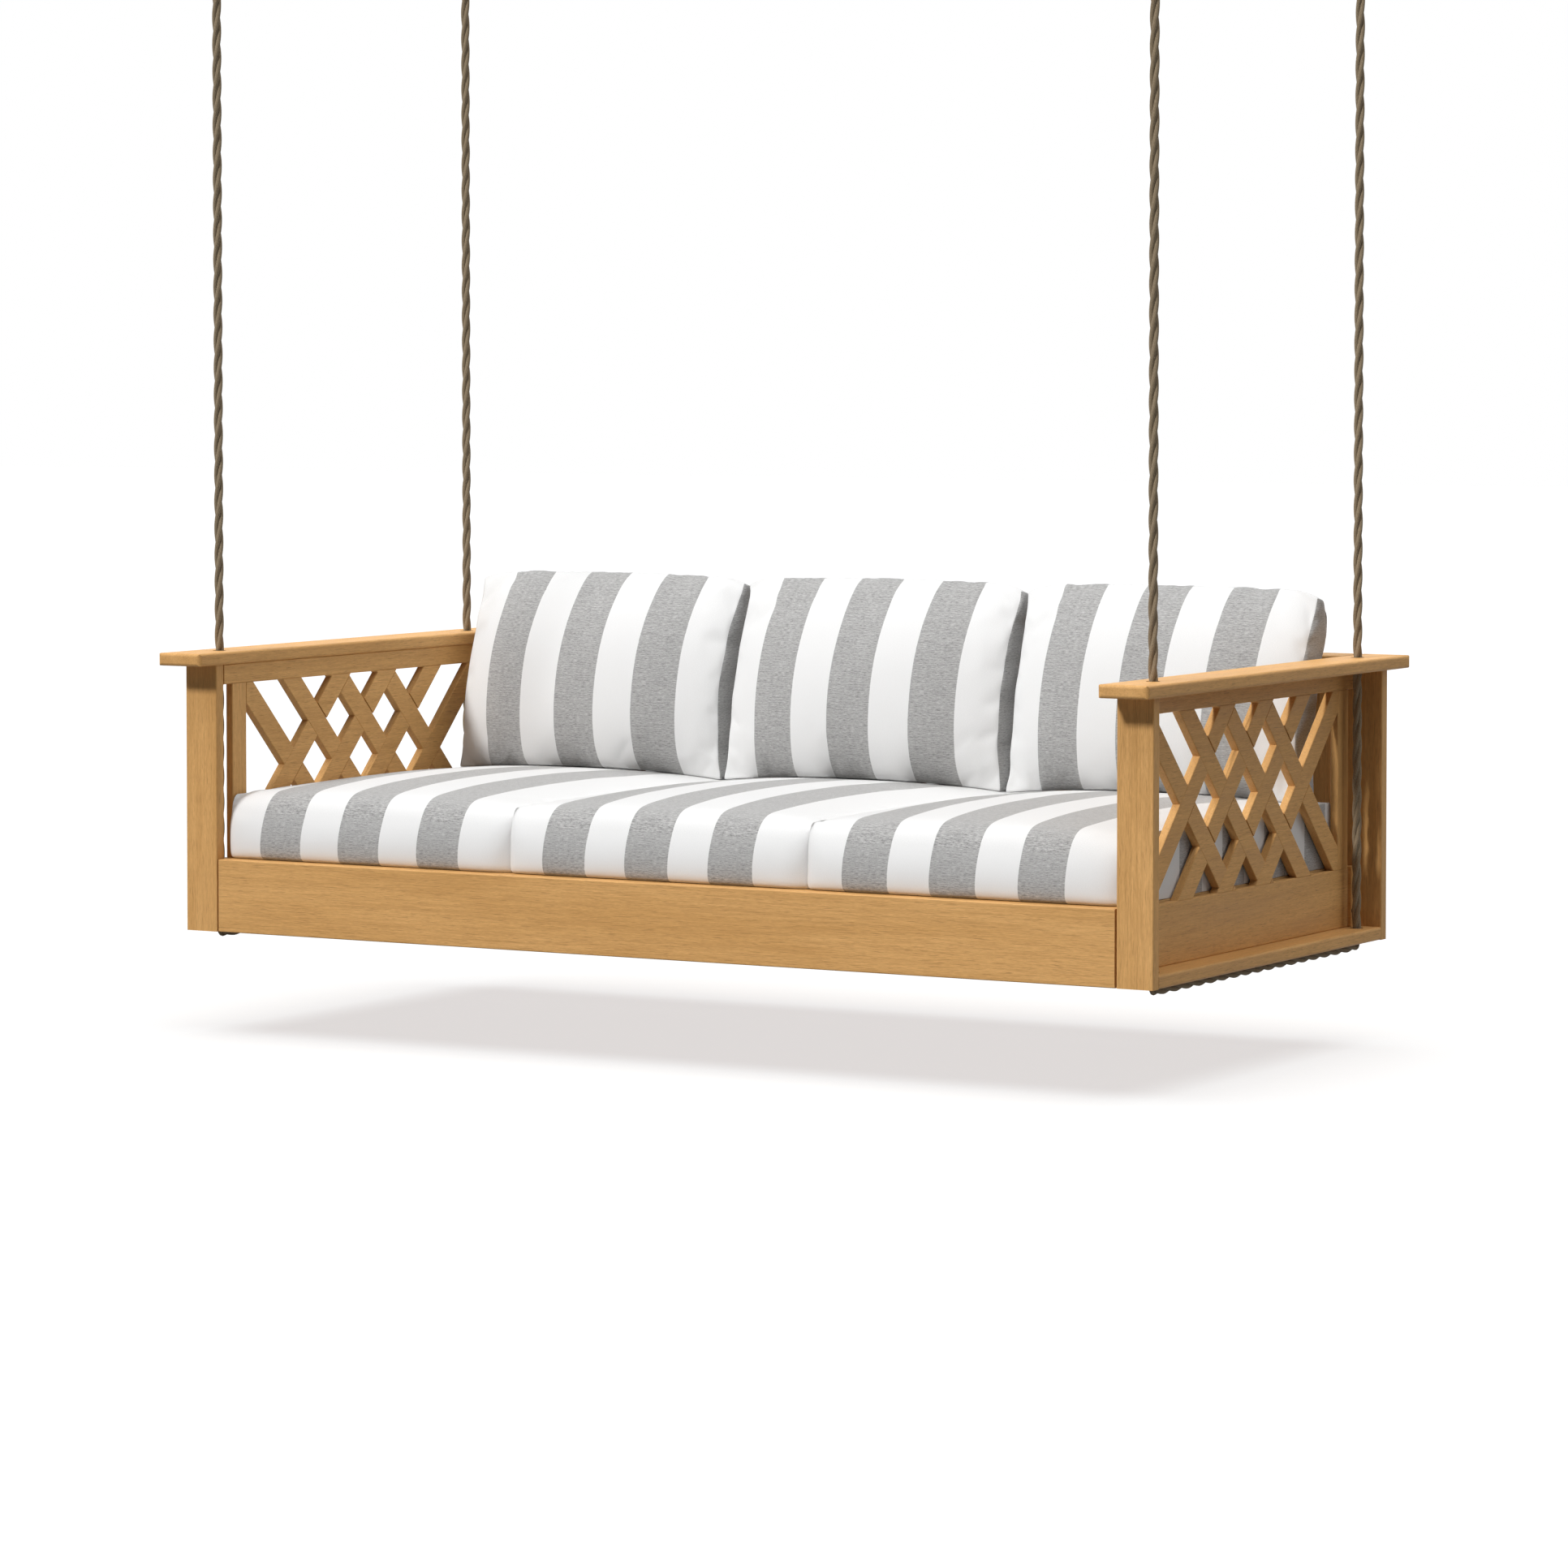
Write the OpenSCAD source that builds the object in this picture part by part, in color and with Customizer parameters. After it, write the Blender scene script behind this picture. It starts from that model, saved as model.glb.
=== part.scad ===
// Hanging swing bed: a lattice-sided day bed with six cushions, slung on four ropes from
// ceiling eye bolts. Origin: middle of the four eye bolts, on the ceiling plane.
// X runs along the bed, Y from its front to its back, Z up.

/* [Bed frame] */
// Width over the outer faces of the posts
post_span = 2110; // [1800:1:2300]
// Depth from the front posts' face to the rear posts' face
frame_depth = 1021; // [900:1:1150]
// Height of the armrests' top above the bed's underside
armrest_top = 547.5; // [480:0.5:650]
// Thickness of posts, rails, armrests and bottom boards
board_t = 25; // [20:0.5:30]
// Width of a post
post_w = 73; // [60:0.5:90]
// Height of the front and rear rails
rail_h = 142; // [120:1:170]
// Gap between a rail's end and the post beside it
rail_end_gap = 3.3; // [1:0.1:6]
// Thickness of the inner rails
inner_rail_t = 26; // [20:0.5:30]
// How far an inner rail's end passes the end panel's outer face
inner_rail_reach = 6.6; // [2:0.1:12]
// Radius of a sawn board's eased long edges
ease_r = 2.5; // [1:0.1:4]

/* [Armrests and back cap] */
// Width of an armrest
armrest_w = 100.6; // [85:0.2:120]
// How far an armrest passes the outer face of its posts
armrest_lip = 20.4; // [5:0.2:30]
// How far an armrest passes the front and rear faces of the frame
armrest_nose = 64.5; // [40:0.5:90]
// Radius of the rounded-over edges
round_r = 6; // [3:0.5:10]
// Radius of an armrest's corners, seen from above
corner_r = 9; // [4:0.5:16]
// Depth of the back cap
back_cap_d = 101; // [80:1:110]

/* [End panels] */
// Thickness of the panels' rails, stiles and slats
panel_t = 16; // [12:0.5:20]
// Distance of a panel's outer face inside the posts' outer face
panel_inset = 58.6; // [50:0.2:64]
// Width of a stile
stile_w = 47.4; // [36:0.2:60]
// Gap between an inner rail and the stile beside it
stile_gap = 1; // [0.5:0.1:3]
// Height of the panels' top rails
top_rail_h = 38.7; // [30:0.1:50]
// Height of a side apron
apron_h = 114; // [95:1:130]
// Width of a bottom board
bottom_board_w = 89; // [80:1:100]

/* [Lattice] */
// Width of a slat
slat_w = 46; // [34:0.5:55]
// Distance between slats, along the panel
slat_pitch = 166; // [140:1:190]
// Clearance beside a slat in its half lap
lap_gap = 0.3; // [0.1:0.05:0.6]
// Height of the end lattices' middle row above the middle of their opening
lattice_rise = 2.4; // [0:0.1:4]

/* [Back panel] */
// Gap between a rear post and the back panel's stile
back_stile_gap = 38; // [25:1:60]

/* [Deck] */
// Width of a seat slat
deck_slat_w = 89; // [70:1:100]
// Number of seat slats
deck_slats = 14; // [10:1:16]
// Height of a ledger strip
ledger_h = 38; // [30:1:50]
// Radius of the screws in the inner rails' ends
screw_r = 2; // [1.5:0.1:3]
// Length of these screws under the head
screw_l = 38; // [25:1:50]
// Height of these screws above the bed's underside
screw_z = 56; // [40:1:90]

/* [Ropes] */
// Diameter of the rope
rope_d = 18; // [14:0.5:20]
// Distance of a rope's centre inside the posts' outer face
rope_in_x = 33.8; // [30:0.2:38]
// Distance of a rope's centre inside the front and rear faces
rope_in_y = 65.6; // [60:0.2:80]
// Clearance round the rope in its holes
hole_clearance = 4.5; // [4:0.1:7]
// Depth of the rope's bending point below the armrest's top
pivot_depth = 4; // [2:0.5:6]
// Height of the ceiling above the bed's underside
hang_height = 2117; // [1950:1:2500]

/* [Ceiling fittings] */
// Diameter of the eye bolts' stock
bolt_d = 12; // [10:0.5:14]
// Radius of an eye, to the middle of its stock
eye_r = 26; // [24:0.5:34]
// Length of a stud above the ceiling plane
stud_l = 80; // [50:1:120]
// Height of an eye bolt's collar
collar_h = 9; // [5:0.5:14]
// Thickness of a thimble's metal
thimble_t = 1.5; // [1:0.1:2]
// Radius of a thimble's crown, inside
thimble_r = 11.7; // [10:0.1:13]
// Length of a rope eye, from its crown's centre to its throat
rope_eye_l = 75; // [65:1:95]
// Length of the spliced rope below the throat
splice_l = 50; // [40:1:80]

/* [Seat cushions] */
// Gap between the seat cushions and each end panel
seat_side_gap = 3.9; // [1:0.1:20]
// Distance of their front behind the frame's front face
seat_front = 30; // [27:1:50]
// Distance of their back in front of the frame's rear face
seat_back = 81; // [60:1:110]
// Height of a seat cushion's edge
seat_edge_h = 125; // [90:1:150]
// Height of its crown above the edge
seat_crown = 26; // [10:1:40]

/* [Back cushions] */
// Gap between the back cushions and each armrest
back_side_gap = 14.8; // [2:0.2:40]
// Height of a back cushion's top above the seat cushions' edge
back_h = 404; // [330:1:450]
// Width of its side boxing
boxing_w = 77; // [60:1:90]
// How far it stands in front of the back cap, at its foot
back_foot = 158; // [145:1:190]
// How far back its top leans, from its foot
back_lean = 100; // [80:1:110]
// How far its side seams bow forward of the straight line
seam_bow = 52; // [30:1:60]
// How far its face bulges in front of the side seams
face_bulge = 62; // [30:1:75]

/* [Hidden] */
$fn = 48;
cut = 1; // what a cutting solid reaches past the face it cuts
soft_gap = 0.3; // what cushions stand clear of wood
rest_gap = 1.05; // what a back cushion's facets stand clear of the seat cushion's

post_x = post_span / 2;
post_in_x = post_x - post_w;
rear_y = frame_depth - board_t;
armrest_z = armrest_top - board_t;
panel_x = post_x - panel_inset;
panel_in_x = panel_x - panel_t;
stile_y = board_t + inner_rail_t + stile_gap;
opening_y = stile_y + stile_w;
apron_top = board_t + apron_h;
top_rail_z = armrest_z - top_rail_h;
cap_y = frame_depth + armrest_nose - back_cap_d;
back_panel_y = rear_y + (board_t - panel_t) / 2;
back_stile_x = post_in_x - back_stile_gap;
inner_y = board_t + inner_rail_t;
deck_z = rail_h - board_t;
armrest_in_x = post_x + armrest_lip - armrest_w;

rope_r = rope_d / 2;
rope_x = post_x - rope_in_x;
rope_ys = [rope_in_y, frame_depth - rope_in_y];
hole_r = rope_r + hole_clearance;
pivot_z = armrest_top - pivot_depth;
sling_z = -(rope_r + soft_gap);
sling_bend_r = rope_r + 3; // of the rope's middle

bolt_r = bolt_d / 2;
rod_z = hang_height - collar_h - 2 * eye_r - bolt_r + eye_bite();
crown_r = thimble_r + thimble_t + soft_gap + rope_r;
crown_z = rod_z + bolt_r + soft_gap - thimble_r;
throat_z = crown_z - rope_eye_l;
throat_angle = asin(crown_r / rope_eye_l);
leg_l = rope_eye_l * cos(throat_angle);
tuck = 3; // what the tucked strands add to the rope's radius
splice_r = rope_r + tuck;
splice_taper = 30;
rope_top_z = throat_z - splice_l - splice_taper;

cushion_gap = 0.6;
seat_w = (2 * (panel_in_x - seat_side_gap) - 2 * cushion_gap) / 3;
seat_d = frame_depth - seat_front - seat_back;
seat_y = seat_front + seat_d / 2;
seat_z = rail_h + soft_gap;
fullness_power = 2.6; // how full the cushions are towards their edges
back_w = (2 * (armrest_in_x - back_side_gap) - 2 * cushion_gap) / 3;

// How deep an eye's stock sinks into the collar above it
function eye_bite() = bolt_r / 2;

// Bed coordinates: Y from the frame's front face, Z from the bed's underside
module in_bed() {
    translate([0, -frame_depth / 2, -hang_height])
        children();
}

// ---- Boards ----

// Rectangle from the origin with round corners
module eased_rect(w, h, r) {
    translate([r, 0])
        square([w - 2 * r, h]);
    translate([0, r])
        square([w, h - 2 * r]);
    for (x = [r, w - r], y = [r, h - r])
        translate([x, y])
            circle(r);
}

// Boards from the origin whose long edges, along X, Y or Z, are eased
module board_x(size, r = ease_r) {
    rotate([90, 0, 90])
        linear_extrude(size.x)
            eased_rect(size.y, size.z, r);
}

module board_y(size, r = ease_r) {
    translate([0, size.y, 0])
        rotate([90, 0, 0])
            linear_extrude(size.y)
                eased_rect(size.x, size.z, r);
}

module board_z(size, r = ease_r) {
    linear_extrude(size.z)
        eased_rect(size.x, size.y, r);
}

// A board from x_in to x_out on the right-hand end, or its opposite on the left
module at_end(side, x_in, width) {
    translate([side > 0 ? x_in : -x_in - width, 0, 0])
        children();
}

module post(side, y) {
    color("peru")
        in_bed()
            at_end(side, post_in_x, post_w)
                translate([0, y, 0])
                    board_z([post_w, board_t, armrest_z]);
}

module rail(y) {
    length = 2 * (post_in_x - rail_end_gap);
    color("peru")
        in_bed()
            translate([-length / 2, y, 0])
                board_x([length, board_t, rail_h]);
}

// Place of an end screw, measured in from the inner rail's free face
screw_in_y = 6.5;

module at_rail_screws(ys) {
    for (side = [-1, 1], y = ys)
        translate([side * (panel_x + inner_rail_reach), y, screw_z])
            rotate([0, side * 90, 0])
                children();
}

// The inner rail starts at y, and its end screws lie at screw_y
module inner_rail(y, screw_y) {
    length = 2 * (panel_x + inner_rail_reach);
    color("sienna")
        in_bed()
            difference() {
                translate([-length / 2, y, board_t])
                    board_x([length, inner_rail_t, rail_h - board_t]);
                at_rail_screws([screw_y])
                    translate([0, 0, -screw_l - cut])
                        cylinder(r = screw_r + 0.05, h = screw_l + 2 * cut);
            }
}

front_screw_y = inner_y - screw_in_y;
rear_screw_y = frame_depth - front_screw_y;

module rail_screws() {
    head_r = 2.2 * screw_r;
    head_h = 1.2 * screw_r;
    color("dimgray")
        in_bed()
            at_rail_screws([front_screw_y, rear_screw_y]) {
                translate([0, 0, -screw_l])
                    cylinder(r = screw_r, h = screw_l);
                intersection() {
                    cylinder(r = head_r, h = head_h);
                    translate([0, 0, head_h - 2 * head_r])
                        sphere(2 * head_r);
                }
            }
}

module rope_holes(side, z) {
    for (y = rope_ys)
        translate([side * rope_x, y, z - cut])
            cylinder(r = hole_r, h = board_t + 2 * cut);
}

module armrest(side) {
    length = frame_depth + 2 * armrest_nose;
    color("burlywood")
        in_bed()
            difference() {
                at_end(side, armrest_in_x, armrest_w)
                    translate([0, -armrest_nose, armrest_z])
                        intersection() {
                            board_y([armrest_w, length, board_t], round_r);
                            board_x([armrest_w, length, board_t], round_r);
                            board_z([armrest_w, length, board_t], corner_r);
                        }
                rope_holes(side, armrest_z);
            }
}

module back_cap() {
    color("burlywood")
        in_bed()
            translate([-armrest_in_x, cap_y, armrest_z])
                board_x([2 * armrest_in_x, back_cap_d, board_t], round_r);
}

module bottom_board(side) {
    color("peru")
        in_bed()
            difference() {
                at_end(side, post_x - bottom_board_w, bottom_board_w)
                    translate([0, board_t, 0])
                        board_y([bottom_board_w, rear_y - board_t, board_t], 2 * ease_r);
                rope_holes(side, 0);
            }
}

// ---- End panels ----

module side_apron(side) {
    color("sienna")
        in_bed()
            at_end(side, panel_in_x, panel_t)
                translate([0, stile_y, board_t])
                    board_y([panel_t, frame_depth - 2 * stile_y, apron_h]);
}

module end_top_rail(side) {
    color("sienna")
        in_bed()
            at_end(side, panel_in_x, panel_t)
                translate([0, board_t, top_rail_z])
                    board_y([panel_t, rear_y - board_t, top_rail_h]);
}

module end_stile(side, y) {
    color("sienna")
        in_bed()
            at_end(side, panel_in_x, panel_t)
                translate([0, y, apron_top])
                    board_z([panel_t, stile_w, top_rail_z - apron_top]);
}

// ---- Lattices ----
// Drawn flat about the middle of an opening w wide and h high, with the face that shows the
// weave upward. Slats rise or fall at 45 degrees; where two cross, each gives half its
// thickness, and the upper one changes from row to row.

function slat_count(w, h) = round((w - h) / slat_pitch) + 1;
function slat_u(i, count) = (i - (count - 1) / 2) * slat_pitch;

module slat_strip(u, slope, rise, width, reach) {
    translate([u, rise])
        rotate(slope * 45)
            square([reach, width], center = true);
}

module lattice(w, h, slope, rise) {
    count = slat_count(w, h);
    reach = 2 * (w + h);
    for (i = [0:count - 1])
        difference() {
            linear_extrude(panel_t)
                intersection() {
                    square([w, h], center = true);
                    slat_strip(slat_u(i, count), slope, rise, slat_w, reach);
                }
            for (j = [0:count - 1]) {
                upper = ((i + j) % 2 == 0) == (slope > 0);
                translate([0, 0, upper ? -cut : panel_t / 2])
                    linear_extrude(panel_t / 2 + cut)
                        slat_strip(slat_u(j, count), -slope, rise, slat_w + 2 * lap_gap, reach);
            }
        }
}

module end_lattice(side, slope) {
    w = frame_depth - 2 * opening_y;
    h = top_rail_z - apron_top;
    color("peru")
        in_bed()
            at_end(side, panel_in_x, panel_t)
                translate([0, frame_depth / 2, apron_top + h / 2])
                    rotate([90, 0, 90])
                        lattice(w, h, slope, lattice_rise);
}

// ---- Back panel ----

module back_rail(z) {
    color("sienna")
        in_bed()
            translate([-post_in_x, back_panel_y, z])
                board_x([2 * post_in_x, panel_t, top_rail_h]);
}

module back_stile(side) {
    color("sienna")
        in_bed()
            at_end(side, back_stile_x - stile_w, stile_w)
                translate([0, back_panel_y, rail_h + top_rail_h])
                    board_z([stile_w, panel_t, top_rail_z - rail_h - top_rail_h]);
}

module back_lattice(slope) {
    w = 2 * (back_stile_x - stile_w);
    h = top_rail_z - rail_h - top_rail_h;
    color("peru")
        in_bed()
            translate([0, back_panel_y + panel_t, top_rail_z - h / 2])
                rotate([90, 0, 0])
                    lattice(w, h, slope, 0);
}

// ---- Deck ----

module ledger(y) {
    color("tan")
        in_bed()
            translate([-panel_in_x, y, deck_z - ledger_h])
                board_x([2 * panel_in_x, board_t, ledger_h]);
}

module seat_slats() {
    length = frame_depth - 2 * stile_y;
    first_x = deck_slat_w / 2 - panel_in_x + stile_gap;
    pitch = -2 * first_x / (deck_slats - 1);
    color("tan")
        in_bed()
            for (i = [0:deck_slats - 1])
                translate([first_x + i * pitch - deck_slat_w / 2, stile_y, deck_z])
                    board_y([deck_slat_w, length, board_t]);
}

// ---- Cushions ----

// Places along a half size, from -1 to 1, that crowd towards the corners
function crowded(i, count) = sin(180 * i / count - 90);

// How full a cushion is, from 1 in its middle to 0 at its edges, where u is -1 or 1
function fullness(u) = 1 - pow(abs(u), fullness_power);

// Height of the seat cushions' top above their edge, u and v running from -1 to 1
function crown_at(u, v) = seat_crown * fullness(u) * fullness(v);

// A loop of points round the square from -1 to 1
function square_loop(count) = [
    for (i = [0:count - 1]) [crowded(i, count), -1],
    for (i = [0:count - 1]) [1, crowded(i, count)],
    for (i = [0:count - 1]) [-crowded(i, count), 1],
    for (i = [0:count - 1]) [-1, -crowded(i, count)]
];

// A point of the cushion's outline, with its sides drawn in towards rounded corners
function outline_at(p, half, inset, side_draw, corner) =
    let (
        reach = [half.x - side_draw * p.y * p.y - inset, half.y - side_draw * p.x * p.x - inset],
        q = [abs(p.x) * reach.x, abs(p.y) * reach.y],
        d = [q.x - reach.x + corner, q.y - reach.y + corner],
        past = d.x > 0 && d.y > 0 ? max(1, norm(d) / corner) : 1,
        r = past > 1 ? [reach.x - corner + d.x / past, reach.y - corner + d.y / past] : q
    )
    [sign(p.x) * r.x, sign(p.y) * r.y];

// Triangles between rings of n points that follow each other, and fans that close both ends
function ring_faces(rings, n) = [
    for (k = [0:rings - 2], i = [0:n - 1])
        let (a = k * n + i, b = k * n + (i + 1) % n)
        each [[a, a + n, b], [b, a + n, b + n]]
];
function fan_faces(first, centre, n, up) = [
    for (i = [0:n - 1])
        let (a = first + i, b = first + (i + 1) % n)
        up ? [a, centre, b] : [b, centre, a]
];

module seat_cushion(place) {
    half = [seat_w / 2, seat_d / 2];
    per_side = 12;
    n = 4 * per_side;
    side_draw = 2;
    side_swell = 3;
    corner = 12;
    turn = 13;
    loop = square_loop(per_side);
    // Rings up the side: how far in they lie, and how high
    side_rings = [
        [side_swell + turn, 0],
        [side_swell + turn / 4, turn / 4],
        [side_swell, turn],
        [0, seat_edge_h / 2],
        [side_swell, seat_edge_h - turn],
        [side_swell + turn / 4, seat_edge_h - turn / 4]
    ];
    top_scales = [0.965, 0.88, 0.72, 0.5, 0.25];
    bottom_scale = 0.5;
    points = [
        for (p = loop) [half.x * bottom_scale * p.x, half.y * bottom_scale * p.y, 0],
        for (ring = side_rings, p = loop)
            let (q = outline_at(p, half, ring[0], side_draw, corner))
            [q.x, q.y, ring[1]],
        for (s = top_scales, p = loop)
            let (q = outline_at(p, half, side_swell, side_draw, corner) * s)
            [q.x, q.y, seat_edge_h + crown_at(q.x / half.x, q.y / half.y)],
        [0, 0, 0],
        [0, 0, seat_edge_h + seat_crown]
    ];
    rings = 1 + len(side_rings) + len(top_scales);
    faces = concat(
        ring_faces(rings, n),
        fan_faces(0, rings * n, n, false),
        fan_faces((rings - 1) * n, rings * n + 1, n, true)
    );
    color("whitesmoke")
        in_bed()
            translate([place * (seat_w + cushion_gap), seat_y, seat_z])
                polyhedron(points, faces);
}

// Back cushion. t runs from its foot, 0, to its top, 1, and u from side to side, -1 to 1.
function seam_y(t) = cap_y - back_foot + back_lean * t - seam_bow * 4 * t * (1 - t);
function puff(t) = 1 - pow(abs(2 * t - 1), 3);
function boxing_at(t) = boxing_w * (1 - 0.7 * pow(t, 12));

// How far its left and its right side pull in, half way between their corners
side_draws = [17, 5];

// Distance of a point from the cushion's middle, its sides pulled in between their corners
function across(u, t) =
    let (between = 1 - pow(abs(2 * t - 1), 4))
    u * back_w / 2 + between * (side_draws[0] * (1 - u) - side_draws[1] * (1 + u)) / 2;

// The cushion's back bulges until it leans on the back cap
foot_rise = 3;
back_z = seat_z + seat_edge_h + foot_rise;
cap_t = (armrest_top - back_z) / back_h;
back_bulge = (cap_y - soft_gap - seam_y(cap_t) - boxing_at(cap_t)) / puff(cap_t);

// Height of the seat cushions' top at a place of the bed
function seat_top_at(x, y) =
    let (
        v = min(1, abs(2 * (y - seat_y) / seat_d)),
        us = [for (place = [-1:1]) min(1, abs(2 * (x - place * (seat_w + cushion_gap)) / seat_w))]
    )
    seat_z + seat_edge_h + crown_at(min(us), v);

// A point of a back cushion, from the cushion's middle, that stays on top of the seat cushions
function over_seat(middle_x, x, y, z) =
    [x, y, max(z, seat_top_at(middle_x + x, y) + rest_gap)];

module back_cushion(place) {
    stations = 16;
    levels = 15;
    n = 2 * (levels + 1);
    top_round = 14;
    top_crown = 8;
    back_drop = 8; // how much lower the back edge of the top lies
    middle_x = place * (back_w + cushion_gap);
    ts = [for (k = [0:levels]) (1 - cos(180 * k / levels)) / 2];
    points = [
        for (i = [0:stations])
            let (
                u = crowded(i, stations),
                high = back_h + top_crown * fullness(u) - top_round * pow(abs(u), 10),
                xs = [for (t = ts) across(u, t)]
            )
            each concat(
                [for (k = [0:levels])
                    let (t = ts[k])
                    over_seat(middle_x, xs[k], seam_y(t) - face_bulge * puff(t) * fullness(u),
                        back_z + high * t)],
                [for (k = [levels:-1:0])
                    let (t = ts[k])
                    over_seat(middle_x, xs[k],
                        seam_y(t) + boxing_at(t) + back_bulge * puff(t) * fullness(u),
                        back_z + (high - back_drop) * t)]
            )
    ];
    side_caps = [
        for (k = [0:levels - 1])
            let (far = stations * n)
            each [
                [k, k + 1, n - 1 - k], [k + 1, n - 2 - k, n - 1 - k],
                [far + k, far + n - 1 - k, far + k + 1],
                [far + k + 1, far + n - 1 - k, far + n - 2 - k]
            ]
    ];
    color("lightgray")
        in_bed()
            translate([middle_x, 0, 0])
                polyhedron(points, concat(ring_faces(stations + 1, n), side_caps));
}

// ---- Ropes ----

// Down through the armrest, under the bottom board and up again. Its ends lie just below
// the points about which the upper ropes swing.
module sling_rope(side) {
    end_z = pivot_z - rope_r - soft_gap;
    bend_z = sling_z + sling_bend_r;
    color("rosybrown")
        in_bed()
            translate([side * rope_x, 0, 0]) {
                for (y = rope_ys)
                    translate([0, y, bend_z])
                        cylinder(r = rope_r, h = end_z - bend_z);
                translate([0, rope_ys[0] + sling_bend_r, sling_z])
                    rotate([-90, 0, 0])
                        cylinder(r = rope_r, h = rope_ys[1] - rope_ys[0] - 2 * sling_bend_r);
                sling_bend(rope_ys[0] + sling_bend_r, bend_z, 180);
                sling_bend(rope_ys[1] - sling_bend_r, bend_z, 270);
            }
}

// A quarter turn about the X direction, from the given angle in the YZ plane
module sling_bend(y, z, from) {
    translate([0, y, z])
        rotate([90, 0, 90])
            rotate([0, 0, from])
                rotate_extrude(angle = 90)
                    translate([sling_bend_r, 0])
                        circle(rope_r);
}

module upper_rope(side, y) {
    color("rosybrown")
        in_bed()
            translate([side * rope_x, y, pivot_z]) {
                cylinder(r = rope_r, h = rope_top_z - pivot_z);
                sphere(rope_r);
            }
}

// Places at the crowns of the two rope eyes of one side, front or rear
module at_crowns(y) {
    in_bed()
        for (side = [-1, 1])
            translate([side * rope_x, y, crown_z])
                children();
}

// Sweeps a section round the crown in the YZ plane, and a slightly thinner one down both legs,
// whose upper ends sink into the crown. In the sections the first axis points away from the
// crown's centre, and the second along X.
leg_thin = 0.2;
leg_bite = 1;

module round_crown(leg) {
    rotate([90, 0, 90])
        rotate([0, 0, -throat_angle])
            rotate_extrude(angle = 180 + 2 * throat_angle)
                children(0);
    for (flip = [0, 1])
        mirror([0, flip, 0])
            rotate([-throat_angle, 0, 0])
                translate([0, 0, -leg])
                    rotate([0, 0, 90])
                        mirror([0, 1, 0])
                            linear_extrude(leg + leg_bite)
                                children(1);
}

module eye_section(thin) {
    translate([crown_r, 0])
        circle(rope_r - thin);
}

module rope_eyes(y) {
    color("rosybrown")
        at_crowns(y) {
            round_crown(leg_l) {
                eye_section(0);
                eye_section(leg_thin);
            }
            translate([0, 0, -rope_eye_l - splice_l])
                cylinder(r = splice_r, h = splice_l + rope_r);
            translate([0, 0, -rope_eye_l - splice_l - splice_taper])
                cylinder(r1 = rope_r, r2 = splice_r, h = splice_taper);
        }
}

// A trough that opens away from the crown's centre
module thimble_section(thin) {
    translate([crown_r, 0])
        intersection() {
            difference() {
                circle(rope_r + soft_gap + thimble_t - thin);
                circle(rope_r + soft_gap + thin);
            }
            translate([-2 * rope_r - thin, 0])
                square([3 * rope_r, 4 * rope_r], center = true);
        }
}

module thimbles(y) {
    color("silver")
        at_crowns(y)
            round_crown(0.4 * leg_l) {
                thimble_section(0);
                thimble_section(leg_thin);
            }
}

module seizings(y) {
    twine_t = 2.3;
    twine_gap = 0.2;
    length = splice_l / 2;
    color("tan")
        at_crowns(y)
            translate([0, 0, -rope_eye_l - 1.4 * length])
                difference() {
                    cylinder(r = splice_r + twine_gap + twine_t, h = length);
                    translate([0, 0, -cut])
                        cylinder(r = splice_r + twine_gap, h = length + 2 * cut);
                }
}

module eye_bolts() {
    tip_h = 2;
    color("silver")
        for (side = [-1, 1], y = rope_ys)
            translate([side * rope_x, y - frame_depth / 2, 0]) {
                translate([0, 0, rod_z + eye_r - hang_height])
                    rotate([90, 0, 0])
                        rotate_extrude()
                            translate([eye_r, 0])
                                circle(bolt_r);
                translate([0, 0, -collar_h])
                    cylinder(r = bolt_d, h = collar_h);
                cylinder(r = bolt_r, h = stud_l - tip_h);
                translate([0, 0, stud_l - tip_h])
                    cylinder(r1 = bolt_r, r2 = bolt_r - tip_h, h = tip_h);
            }
}

post(-1, 0);  // front_left_post
post(1, 0);  // front_right_post
post(-1, rear_y);  // rear_left_post
post(1, rear_y);  // rear_right_post
armrest(-1);  // left_armrest
armrest(1);  // right_armrest
back_cap();
rail(0);  // front_rail
rail(rear_y);  // rear_rail
inner_rail(board_t, front_screw_y);  // front_inner_rail
inner_rail(rear_y - inner_rail_t, rear_screw_y);  // rear_inner_rail
bottom_board(-1);  // left_bottom_board
bottom_board(1);  // right_bottom_board
side_apron(-1);  // left_side_apron
side_apron(1);  // right_side_apron
end_top_rail(-1);  // left_top_rail
end_top_rail(1);  // right_top_rail
end_stile(-1, stile_y);  // left_front_stile
end_stile(-1, frame_depth - opening_y);  // left_rear_stile
end_stile(1, stile_y);  // right_front_stile
end_stile(1, frame_depth - opening_y);  // right_rear_stile
end_lattice(-1, 1);  // left_rising_slats
end_lattice(-1, -1);  // left_falling_slats
end_lattice(1, 1);  // right_rising_slats
end_lattice(1, -1);  // right_falling_slats
back_rail(top_rail_z);  // back_top_rail
back_rail(rail_h);  // back_bottom_rail
back_stile(-1);  // back_left_stile
back_stile(1);  // back_right_stile
back_lattice(1);  // back_rising_slats
back_lattice(-1);  // back_falling_slats
ledger(inner_y);  // front_ledger
ledger(frame_depth - inner_y - board_t);  // rear_ledger
seat_slats();
rail_screws();
seat_cushion(-1);  // left_seat_cushion
seat_cushion(0);  // middle_seat_cushion
seat_cushion(1);  // right_seat_cushion
back_cushion(-1);  // left_back_cushion
back_cushion(0);  // middle_back_cushion
back_cushion(1);  // right_back_cushion
sling_rope(-1);  // left_sling_rope
sling_rope(1);  // right_sling_rope
upper_rope(-1, rope_ys[0]);  // front_left_rope
upper_rope(1, rope_ys[0]);  // front_right_rope
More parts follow.
